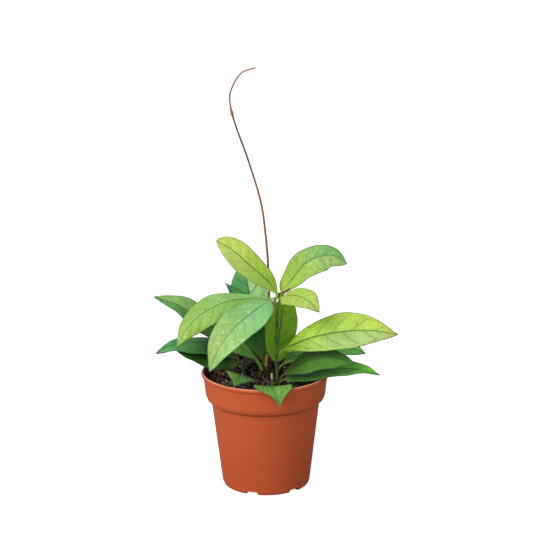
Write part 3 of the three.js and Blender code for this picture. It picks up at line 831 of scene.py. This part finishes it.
def leaf_rows(leaf, start):
    """The rows of the skin, as (share of the path, share of the blade)."""
    blade_start = 1 / len(leaf["rib"])
    stalk_length = (Vector(leaf["rib"][0]) - start).length
    sunk = -blade_start * SHOOT_SINK / stalk_length
    blade_rows = round(rib_length(leaf) / LEAF_SPACING)
    rows = [(lerp(sunk, blade_start, row / STALK_ROWS), 0.0) for row in range(STALK_ROWS)]
    for row in range(blade_rows + 1):
        even = row / blade_rows
        along = lerp(even, (1 - math.cos(math.pi * even)) / 2, CROWDING)
        rows.append((lerp(blade_start, 1.0, along), along))
    return rows


def half_thickness(stalk_radius, side, across, rib_distance, along, blade):
    """Half the thickness of the skin: a round stalk that turns into a flat blade with a keel and a groove."""
    stalk = stalk_radius * math.sqrt(max(0.0, 1 - across ** 2))
    flat = BLADE / 2 * math.sqrt(max(0.0, 1 - across ** 6))
    if side < 0:
        flat += KEEL * (1 - along) * math.exp(-((rib_distance / KEEL_WIDTH) ** 2))
    else:
        flat -= GROOVE * blade * (1 - along) * math.exp(-((rib_distance / GROOVE_WIDTH) ** 2))
    return lerp(stalk, max(flat, 0.0), blade)


def quilting(phase, across, rib_distance, blade):
    """How high the skin swells between the side veins. It ends before the margin."""
    off_rib = abs(across)
    to_vein = abs((phase + (0.5 if across > 0 else 0) + 0.5) % 1 - 0.5) * 2
    inside = blade * smoothstep(off_rib, 1.0, 0.75) if off_rib > 0.75 else blade
    return QUILT * inside * smoothstep(rib_distance, 0, 2.5) * smoothstep(to_vein, 0, 0.8)


def edge_wave(leaf, number, across, along):
    """The rise of the waved edge, out of step on the two halves."""
    phase = number + (HALF_PHASE if across > 0 else 0)
    wave = math.sin(2 * math.pi * RIPPLES * along + phase)
    wave *= math.sqrt(math.sin(math.pi * min(max(along, 0.0), 1.0)))
    return leaf["wave"] * across ** 2 * wave


def leaf_skin(leaf, number, path, rows, columns, stalk_radius):
    """The corners of the upper, then the lower face, and the numbers that the leaf's paint reads there."""
    facing = Vector(leaf["facing"])
    slope = math.tan(math.radians(leaf["fold"]))
    corners = []
    values = {key: [] for key in LEAF_VALUES}
    for side in (1, -1):
        for row, (where, along) in enumerate(rows):
            forward = heading(path, where)
            sideways = forward.cross(facing).normalized()
            up = sideways.cross(forward)
            centre = path(where)
            blade = smoothstep(along, 0, STALK_BLEND)
            closing = 0.0 if row in (0, len(rows) - 1) else 1.0
            halves = {half: math.hypot(blade_reach(leaf[half], along) * edge_wear(number, half, along),
                                       lerp(stalk_radius, TIP_HALF_WIDTH, along))
                      for half in ("left", "right")}
            for column in range(columns + 1):
                even = 2 * column / columns - 1
                across = lerp(even, math.sin(even * math.pi / 2), CROWDING)
                off_rib = abs(across)
                half_width = halves["right" if across > 0 else "left"]
                rib_distance = off_rib * half_width
                phase = vein_phase(leaf, along, off_rib)
                quilt = quilting(phase, across, rib_distance, blade)
                thickness = closing * half_thickness(stalk_radius, side, across, rib_distance, along, blade)
                rise = half_width * slope * off_rib ** 1.4 + edge_wave(leaf, number, across, along)
                spot = centre + sideways * (across * half_width * (closing if row == 0 else 1.0))
                swell = SWELL * blade * noise.noise(spot * 0.09 + Vector((number, 0, 0)))
                corners.append(spot + up * (blade * (rise + quilt + swell) + side * thickness))
                upper = 1.0 if side > 0 else 0.0
                for key, value in zip(LEAF_VALUES, (along, across, half_width, phase, blade, upper)):
                    values[key].append(value)
    return corners, values


def build_leaf(name, leaf, number):
    """One closed skin from the stalk in its stem to the tip of the folded, waved and quilted blade."""
    stalk_radius = leaf["stalk"]
    start = shoot_start(leaf["stem"], leaf["height"], leaf["rib"][0], stalk_radius)
    path = smooth_path([start, *(Vector(point) for point in leaf["rib"])])
    rows = leaf_rows(leaf, start)
    columns = 2 * round((leaf["left"][0] + leaf["right"][0]) / LEAF_SPACING / COLUMN_WIDENING)
    corners, values = leaf_skin(leaf, number, path, rows, columns, stalk_radius)
    faces = []
    in_row = columns + 1
    on_face = len(rows) * in_row
    for row in range(len(rows) - 1):
        for column in range(columns):
            a = row * in_row + column
            b = a + in_row
            faces.append((a, a + 1, b + 1, b))
            faces.append((on_face + a, on_face + b, on_face + b + 1, on_face + a + 1))
    piece = make_piece(name + "_blade", corners, faces, leaf_paint(name, leaf), leaf["slot"], name)
    for key, numbers in values.items():
        piece.data.attributes.new(key, "FLOAT", "POINT").data.foreach_set("value", numbers)
    weld(piece, WELD)


def filleted(outline):
    """The outline with each corner rounded, where its sides leave room."""
    rounded = [outline[0]]
    for before, corner, after in zip(outline, outline[1:], outline[2:]):
        here = Vector(corner)
        back, ahead = Vector(before) - here, Vector(after) - here
        reach = min(FILLET, back.length * 0.45, ahead.length * 0.45)
        first, last = here + back.normalized() * reach, here + ahead.normalized() * reach
        for step in range(FILLET_STEPS + 1):
            share = step / FILLET_STEPS
            rounded.append(tuple((1 - share) ** 2 * first + 2 * share * (1 - share) * here
                                 + share ** 2 * last))
    rounded.append(outline[-1])
    return rounded


def pot_outline():
    """The pot's wall as (radius, height), up its outside and down its inside."""
    outer = [(0, 0), (BASE_RADIUS - CORNER, 0), (BASE_RADIUS - 1, 0.9), (BASE_RADIUS - 0.2, CORNER),
             (STEP_RADIUS, STEP_HEIGHT), (STEP_RADIUS + 1, STEP_HEIGHT + 0.2),
             (COLLAR_BOTTOM_RADIUS - 1.2, STEP_HEIGHT + SHOULDER * 0.45),
             (COLLAR_BOTTOM_RADIUS, SHOULDER_TOP), (COLLAR_TOP_RADIUS, LIP_BOTTOM),
             (RIM_RADIUS - LIP_EASE, LIP_BOTTOM + 0.4),
             (RIM_RADIUS, POT_HEIGHT - LIP_HEIGHT / 2), (RIM_RADIUS - LIP_EASE, POT_HEIGHT - LIP_EASE),
             (RIM_RADIUS - 3 * LIP_EASE, POT_HEIGHT)]
    inner = [(COLLAR_TOP_RADIUS - 0.4, POT_HEIGHT - LIP_EASE), (COLLAR_TOP_RADIUS - WALL, LIP_BOTTOM),
             (COLLAR_BOTTOM_RADIUS - WALL, SHOULDER_TOP), (STEP_RADIUS - WALL, STEP_HEIGHT),
             (BASE_RADIUS - WALL, CORNER + FLOOR), (BASE_RADIUS - CORNER, FLOOR), (0, FLOOR)]
    return filleted([*outer, *inner])


def lathe(outline, sides):
    """Corners and faces of an outline of (radius, height) turned about Z."""
    vertices, faces = [], []
    count = len(outline)
    for side in range(sides):
        angle = 2 * math.pi * side / sides
        for radius, height in outline:
            vertices.append((radius * math.cos(angle), radius * math.sin(angle), height))
        here, right = side * count, (side + 1) % sides * count
        for level in range(count - 1):
            faces.append((here + level, right + level, right + level + 1, here + level + 1))
    return vertices, faces


def notch_cutter(angle):
    """A bar through the pot's bottom edge that narrows upwards."""
    half = NOTCH_WIDTH / 2
    inside, outside = BASE_RADIUS - NOTCH_DEPTH, BASE_RADIUS + CORNER
    section = [(-half - NOTCH_FLARE, -1), (half + NOTCH_FLARE, -1),
               (half - NOTCH_FLARE, NOTCH_HEIGHT), (-half + NOTCH_FLARE, NOTCH_HEIGHT)]
    turn = Matrix.Rotation(math.radians(angle), 4, "Z")
    corners = [turn @ Vector((depth, *corner)) for depth in (inside, outside) for corner in section]
    faces = [(0, 1, 2, 3), (7, 6, 5, 4), (0, 4, 5, 1), (1, 5, 6, 2), (2, 6, 7, 3), (3, 7, 4, 0)]
    cutter = add_mesh("cutter", corners, faces)
    weld(cutter, WELD)
    return cutter


def apply_modifiers(piece):
    """Puts the modifiers' result into the piece's own mesh."""
    graph = bpy.context.evaluated_depsgraph_get()
    mesh = bpy.data.meshes.new_from_object(piece.evaluated_get(graph))
    piece.modifiers.clear()
    piece.data = mesh


def build_pot():
    vertices, faces = lathe(pot_outline(), POT_SIDES)
    pot = make_piece("pot_shell", vertices, faces, pot_paint(), "terracotta_plastic", "pot")
    weld(pot, POT_WELD)
    for notch in range(NOTCHES):
        cutter = notch_cutter(FIRST_NOTCH_ANGLE + notch * 360 / NOTCHES)
        cut = pot.modifiers.new("cut", "BOOLEAN")
        cut.operation = "DIFFERENCE"
        cut.object = cutter
        cut.solver = "EXACT"
        apply_modifiers(pot)
        bpy.data.objects.remove(cutter)
    pot.data.set_sharp_from_angle(angle=math.radians(SHARP_ANGLE))


def inner_radius(height):
    """The radius of the pot's inside at a height."""
    if height < STEP_HEIGHT:
        share = (height - CORNER) / (STEP_HEIGHT - CORNER)
        return lerp(BASE_RADIUS, STEP_RADIUS, share) - WALL
    share = (height - SHOULDER_TOP) / (LIP_BOTTOM - SHOULDER_TOP)
    return lerp(COLLAR_BOTTOM_RADIUS, COLLAR_TOP_RADIUS, share) - WALL


def soil_height(x, y):
    """The soil's top in the solids, with its ripples."""
    from_centre = math.hypot(x, y) / COLLAR_BOTTOM_RADIUS
    rise = SOIL_BACK_RISE * smoothstep(y, SOIL_RISE_FROM, SOIL_RISE_TO)
    ripples = (math.sin(0.71 * x + 1.3) * math.cos(0.63 * y) + 0.6 * math.sin(1.37 * y - 0.4 * x)
               + 0.5 * math.cos(1.9 * x + 0.8 * y))
    return SOIL_TOP + rise + SOIL_MOUND * (1 - from_centre ** 2) + RIPPLE * ripples


def rough_soil_height(x, y):
    """The soil's top with its clods and a low heap by the back rim."""
    clods = noise.fractal(Vector((x, y, 0)) * CLOD_SCALE, 1.0, 2.0, 4)
    heap = HEAP_RISE * math.exp(-math.dist((x, y), HEAP_PLACE) ** 2 / (2 * HEAP_REACH ** 2))
    return soil_height(x, y) + heap + CLOD_RISE * clods - CLOD_SINK


def build_soil():
    """The plug of potting mix: a rough top over the same body as the solid's."""
    edge = inner_radius(SOIL_TOP) - SOIL_GAP
    bottom = FLOOR + SOIL_FLOOR_GAP
    low = [(AXIS_GAP, bottom), (BASE_RADIUS - CORNER - 1, bottom),
           (inner_radius(CORNER + FLOOR) - SOIL_GAP, CORNER + FLOOR + 1),
           (STEP_RADIUS - WALL - SOIL_GAP, STEP_HEIGHT),
           (COLLAR_BOTTOM_RADIUS - WALL - SOIL_GAP, STEP_HEIGHT + SHOULDER + 2)]
    top = [(max(edge * ring / SOIL_RINGS, AXIS_GAP), SOIL_TOP) for ring in range(SOIL_RINGS, -1, -1)]
    vertices, faces = lathe([*low, *top], SOIL_SIDES)
    vertices = [(x, y, rough_soil_height(x, y) if z == SOIL_TOP else z) for x, y, z in vertices]
    piece = make_piece("soil_bed", vertices, faces, soil_paint(), "potting_mix", "soil")
    weld(piece, SOIL_WELD)


def round_grain():
    """Corners and triangles of a round grain of size 1."""
    work = bmesh.new()
    bmesh.ops.create_icosphere(work, subdivisions=1, radius=0.5)
    corners = [vertex.co.copy() for vertex in work.verts]
    triangles = [tuple(vertex.index for vertex in face.verts) for face in work.faces]
    work.free()
    return corners, triangles


def dented(corners, size, stretch, rng):
    """The corners of a grain, stretched, dented and turned at random."""
    spin = Quaternion((rng.gauss(0, 1), rng.gauss(0, 1), rng.gauss(0, 1), rng.gauss(0, 1))).normalized()
    shaped = []
    for corner in corners:
        dent = rng.uniform(0.7, 1.15)
        long = Vector((corner.x * stretch[0], corner.y * stretch[1], corner.z * stretch[2]))
        shaped.append(spin @ (long * size * dent))
    return shaped


def scatter(count, rng, size_of, stretch_of, sink, spread=0.5):
    """Grains strewn over the soil, evenly with spread 0.5 and nearer the rim below it."""
    grain, triangles = round_grain()
    vertices, faces = [], []
    edge = inner_radius(SOIL_TOP) - SOIL_GAP
    for _ in range(count):
        size = size_of(rng)
        reach = (edge - RIM_MARGIN * size / 2) * rng.random() ** spread
        angle = rng.uniform(0, 2 * math.pi)
        x, y = reach * math.cos(angle), reach * math.sin(angle)
        centre = Vector((x, y, rough_soil_height(x, y) - sink * size))
        corners = dented(grain, size, stretch_of(rng), rng)
        first = len(vertices)
        vertices.extend(centre + corner for corner in corners)
        faces.extend(tuple(first + index for index in triangle) for triangle in triangles)
    return vertices, faces


def build_grains():
    """Crumbs, bark slivers and perlite on the soil, all from one seed. The crumbs take the plain potting_mix
    that comes with the frame, and not soil_paint's."""
    rng = random.Random(GRAIN_SEED)
    crumbs = scatter(CRUMBS, rng, lambda r: r.uniform(0.9, 2.6),
                     lambda r: (1, r.uniform(0.6, 1), r.uniform(0.5, 0.9)), 0.05)
    make_piece("soil_crumbs", *crumbs, bpy.data.materials["potting_mix"], "potting_mix", smooth=False)
    slivers = scatter(SLIVERS, rng, lambda r: r.uniform(2, 5),
                      lambda r: (1, r.uniform(0.12, 0.3), r.uniform(0.08, 0.2)), -0.02)
    fibre = litter_paint("bark_fibre", "#2a1610", "#8f5f46", size=3, detail=2, most=0.6, relief=0.6,
                         Roughness=0.7, Specular_IOR_Level=0.35)
    make_piece("soil_fibres", *slivers, fibre, "potting_mix", smooth=False)
    perlite = scatter(PERLITE_GRAINS, rng, lambda r: 0.7 + 2.1 * r.random() ** 2,
                      lambda r: (1, r.uniform(0.7, 1), r.uniform(0.6, 0.9)), -0.25, spread=0.25)
    white = litter_paint("perlite", "#fbf7f0", "#c9b49c", size=1.5, detail=3, most=0.7, relief=0.4,
                         Roughness=0.6)
    make_piece("soil_perlite", *perlite, white, "potting_mix", smooth=False)


def add_camera():
    data = bpy.data.cameras.new("camera")
    data.lens = CAMERA_LENS
    camera = add_object("camera", data)
    pitch = Matrix.Rotation(math.radians(90 - CAMERA_PITCH), 4, "X")
    roll = Matrix.Rotation(math.radians(CAMERA_ROLL), 4, "Z")
    camera.matrix_world = Matrix.Translation(CAMERA_PLACE) @ pitch @ roll
    bpy.context.scene.camera = camera


def add_lamp(name, place, size, watts, color):
    """A square soft light that faces the middle of the plant."""
    data = bpy.data.lights.new(name, "AREA")
    data.size = size
    data.energy = watts
    data.color = color
    lamp = add_object(name, data)
    lamp.location = place
    lamp.rotation_mode = "QUATERNION"
    lamp.rotation_quaternion = (LAMP_TARGET - Vector(place)).to_track_quat("-Z", "Y")


def set_strength(tree, socket, light, seen):
    """Gives a strength one value as light and another as the camera sees it."""
    by_camera = add_node(tree, "LightPath", {})["Is Camera Ray"]
    picked = add_node(tree, "MapRange", {"Value": by_camera, "To Min": light, "To Max": seen})["Result"]
    feed(tree, socket, picked)


def add_sky():
    world = bpy.data.worlds.new("studio")
    bpy.context.scene.world = world
    world.use_nodes = True
    background = world.node_tree.nodes["Background"]
    background.inputs["Color"].default_value = (1, 1, 1, 1)
    set_strength(world.node_tree, background.inputs["Strength"], SKY_LIGHT, SKY_SEEN)


def add_ground():
    """A plain white floor just under the pot."""
    corners = [(x * GROUND_REACH, y * GROUND_REACH, 0) for x, y in ((-1, -1), (1, -1), (1, 1), (-1, 1))]
    ground = add_mesh("ground", corners, [(0, 1, 2, 3)])
    ground.location = (0, 0, -GROUND_DROP * MM)
    paint = Paint("white_ground")
    paint.set(Base_Color=GROUND_COLOR, Roughness=0.9, Specular_IOR_Level=0.0, Emission_Color=(1, 1, 1, 1))
    set_strength(paint.tree, paint.shader.inputs["Emission Strength"], GROUND_LIGHT, GROUND_SEEN)
    ground.data.materials.append(paint.material)


def add_stage():
    """White ground and surroundings, a soft key light from the left front and a weak warm fill."""
    add_sky()
    add_ground()
    for name, lamp in LAMPS.items():
        add_lamp(name, **lamp)
    bpy.context.scene.view_settings.view_transform = "Standard"


def build_plant():
    build_pot()
    build_soil()
    build_grains()
    finishes = {name: stem_paint(name, **bark) for name, bark in BARKS.items()}
    for name, stem in STEMS.items():
        build_stem(name, stem, finishes)
    for name, spur in SPURS.items():
        build_spur(name, spur, finishes)
    for number, (name, leaf) in enumerate(LEAVES.items()):
        build_leaf(name, LEAF_HABIT | leaf, number)


add_camera()
add_stage()
build_plant()
